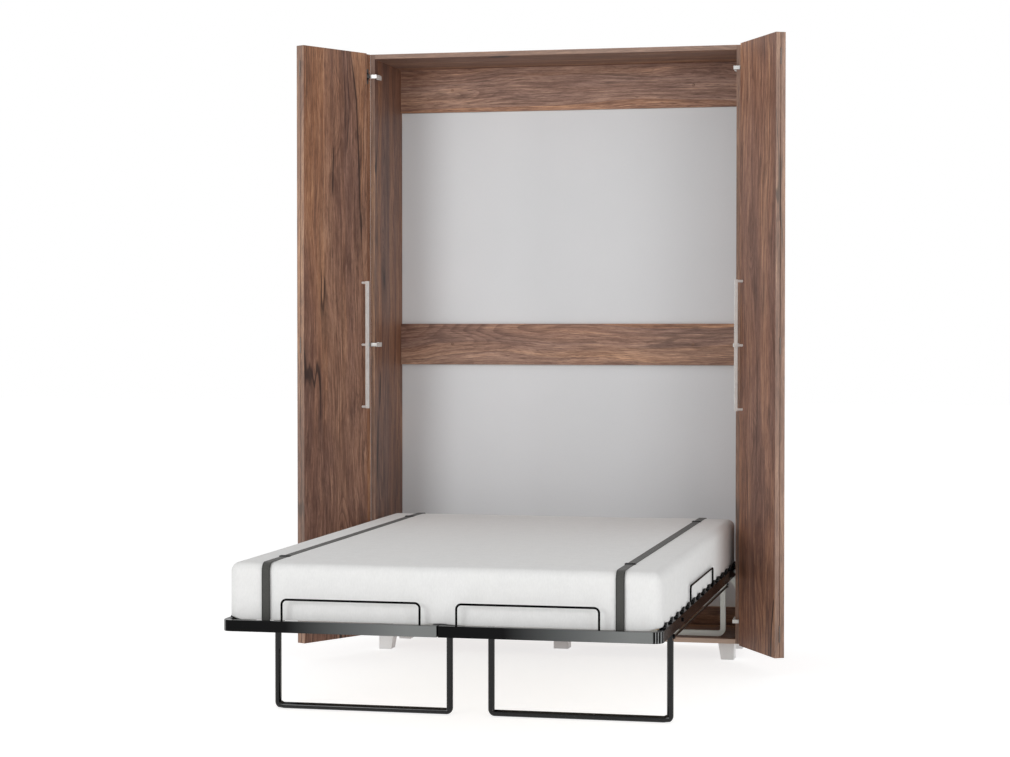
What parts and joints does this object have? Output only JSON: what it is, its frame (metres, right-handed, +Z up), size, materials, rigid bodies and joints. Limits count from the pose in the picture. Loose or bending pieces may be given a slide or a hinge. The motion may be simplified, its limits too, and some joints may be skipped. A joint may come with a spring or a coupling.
{
  "type": "wall bed",
  "caption": "Fold-down double bed in a tall walnut cabinet with folding doors, on fold-out legs, with a strapped mattress.",
  "frame": {"origin": "On the floor, in the middle of the footprint of the cabinet, the open doors and the lowered bed.", "axes": "+X to the viewer's right when facing the cabinet, +Y from the bed's foot end towards the wall, +Z up. The bed is lowered at rest."},
  "size_m": [1.877, 2.27, 2.372],
  "materials": {
    "laminate": "dark walnut laminate with a long grain, satin",
    "back_board": "light grey coated hardboard, matt",
    "feet": "light grey moulded, matt",
    "grey_steel": "light grey powder coat",
    "black_steel": "black gloss powder coat",
    "nickel": "satin nickel",
    "mattress_cloth": "white knitted ticking",
    "strap_webbing": "grey woven webbing",
    "slat_wood": "clear lacquered beech",
    "black_plastic": "black moulded, satin"
  },
  "bodies": {
    "carcass": {"side_panel_left": "laminate", "side_panel_right": "laminate", "top_panel": "laminate", "bottom_panel": "laminate", "upper_rail": "laminate", "middle_rail": "laminate", "lower_rail": "laminate", "back_panel": "back_board", "feet": "feet", "stand": "grey_steel", "rest_brackets": "grey_steel", "hinge_arms": "nickel", "carcass_screws": "nickel", "stand_screws": "nickel"},
    "bed": {"side_rail_left": "black_steel", "side_rail_right": "black_steel", "centre_rail_left": "black_steel", "centre_rail_right": "black_steel", "front_rail_left": "black_steel", "front_rail_right": "black_steel", "cross_bars": "black_steel", "slats": "slat_wood", "slat_holders_side": "black_plastic", "slat_holders_centre": "black_plastic", "hoop_front_left": "black_steel", "hoop_front_right": "black_steel", "hoop_side_left": "black_steel", "hoop_side_right": "black_steel", "hoops_head": "black_steel", "mattress": "mattress_cloth", "strap_left": "strap_webbing", "strap_right": "strap_webbing", "strap_sliders": "black_plastic", "strap_anchors": "black_steel", "pivot_bolts": "nickel", "leg_bolts": "nickel", "leg_centre_pin": "nickel", "centre_bolts": "nickel", "rail_end_caps": "black_plastic", "gas_studs": "nickel"},
    "leg_left": {"leg_left": "black_steel"},
    "link_rod_left": {"link_rod_left": "black_steel"},
    "gas_cylinder_left": {"gas_cylinder_left": "black_steel"},
    "gas_piston_left": {"gas_piston_left": "nickel"},
    "door_inner_left": {"door_inner_left": "laminate", "hinge_cups_left": "nickel", "fold_hinge_inner_left": "nickel"},
    "door_outer_left": {"door_outer_left": "laminate", "fold_hinge_outer_left": "nickel", "handle_left": "nickel"},
    "leg_right": {"leg_right": "black_steel"},
    "link_rod_right": {"link_rod_right": "black_steel"},
    "gas_cylinder_right": {"gas_cylinder_right": "black_steel"},
    "gas_piston_right": {"gas_piston_right": "nickel"},
    "door_inner_right": {"door_inner_right": "laminate", "hinge_cups_right": "nickel", "fold_hinge_inner_right": "nickel"},
    "door_outer_right": {"door_outer_right": "laminate", "fold_hinge_outer_right": "nickel", "handle_right": "nickel"}
  },
  "joints": [
    {"name": "bed_tilt", "type": "hinge", "parent": "carcass", "child": "bed", "pos_m": [0, 0.798, 0.338], "axis": [-1, 0, 0], "range_deg": [0, 90]},
    {"name": "leg_swing_left", "type": "hinge", "parent": "bed", "child": "leg_left", "pos_m": [-0.3695, -0.68, 0.338], "axis": [-1, 0, 0], "range_deg": [-90, 0]},
    {"name": "link_swing_left", "type": "hinge", "parent": "carcass", "child": "link_rod_left", "pos_m": [-0.68325, 0.778, 0.285], "axis": [-1, 0, 0], "range_deg": [0, 90]},
    {"name": "gas_swing_left", "type": "hinge", "parent": "carcass", "child": "gas_cylinder_left", "pos_m": [-0.038, 0.798, 0.12], "axis": [-1, 0, 0], "range_deg": [0, 42.58]},
    {"name": "gas_slide_left", "type": "slide", "parent": "gas_cylinder_left", "child": "gas_piston_left", "axis": [0, -0.676, 0.7369], "range_m": [0, 0.1224]},
    {"name": "door_swing_left", "type": "hinge", "parent": "carcass", "child": "door_inner_left", "pos_m": [-0.738, 0.7142, 1.2195], "axis": [0, 0, -1], "range_deg": [-28, 5]},
    {"name": "door_fold_left", "type": "hinge", "parent": "door_inner_left", "child": "door_outer_left", "pos_m": [-0.92226, 0.37274, 1.2195], "axis": [0, 0, -1], "range_deg": [0, 4]},
    {"name": "leg_swing_right", "type": "hinge", "parent": "bed", "child": "leg_right", "pos_m": [0.3695, -0.68, 0.338], "axis": [-1, 0, 0], "range_deg": [-90, 0]},
    {"name": "link_swing_right", "type": "hinge", "parent": "carcass", "child": "link_rod_right", "pos_m": [0.68325, 0.778, 0.285], "axis": [-1, 0, 0], "range_deg": [0, 90]},
    {"name": "gas_swing_right", "type": "hinge", "parent": "carcass", "child": "gas_cylinder_right", "pos_m": [0.038, 0.798, 0.12], "axis": [-1, 0, 0], "range_deg": [0, 42.58]},
    {"name": "gas_slide_right", "type": "slide", "parent": "gas_cylinder_right", "child": "gas_piston_right", "axis": [0, -0.676, 0.7369], "range_m": [0, 0.1224]},
    {"name": "door_swing_right", "type": "hinge", "parent": "carcass", "child": "door_inner_right", "pos_m": [0.738, 0.7142, 1.2195], "axis": [0, 0, 1], "range_deg": [-28, 5]},
    {"name": "door_fold_right", "type": "hinge", "parent": "door_inner_right", "child": "door_outer_right", "pos_m": [0.92226, 0.37274, 1.2195], "axis": [0, 0, 1], "range_deg": [0, 4]}
  ],
  "couplings": [
    {"joint": "leg_swing_left", "follows": "bed_tilt", "ratio": -1},
    {"joint": "link_swing_left", "follows": "bed_tilt", "ratio": 1},
    {"joint": "gas_swing_left", "follows": "bed_tilt", "ratio": 0.4726},
    {"joint": "gas_slide_left", "follows": "bed_tilt", "m_per_rad": 0.077767},
    {"joint": "leg_swing_right", "follows": "bed_tilt", "ratio": -1},
    {"joint": "link_swing_right", "follows": "bed_tilt", "ratio": 1},
    {"joint": "gas_swing_right", "follows": "bed_tilt", "ratio": 0.4726},
    {"joint": "gas_slide_right", "follows": "bed_tilt", "m_per_rad": 0.077767}
  ]
}
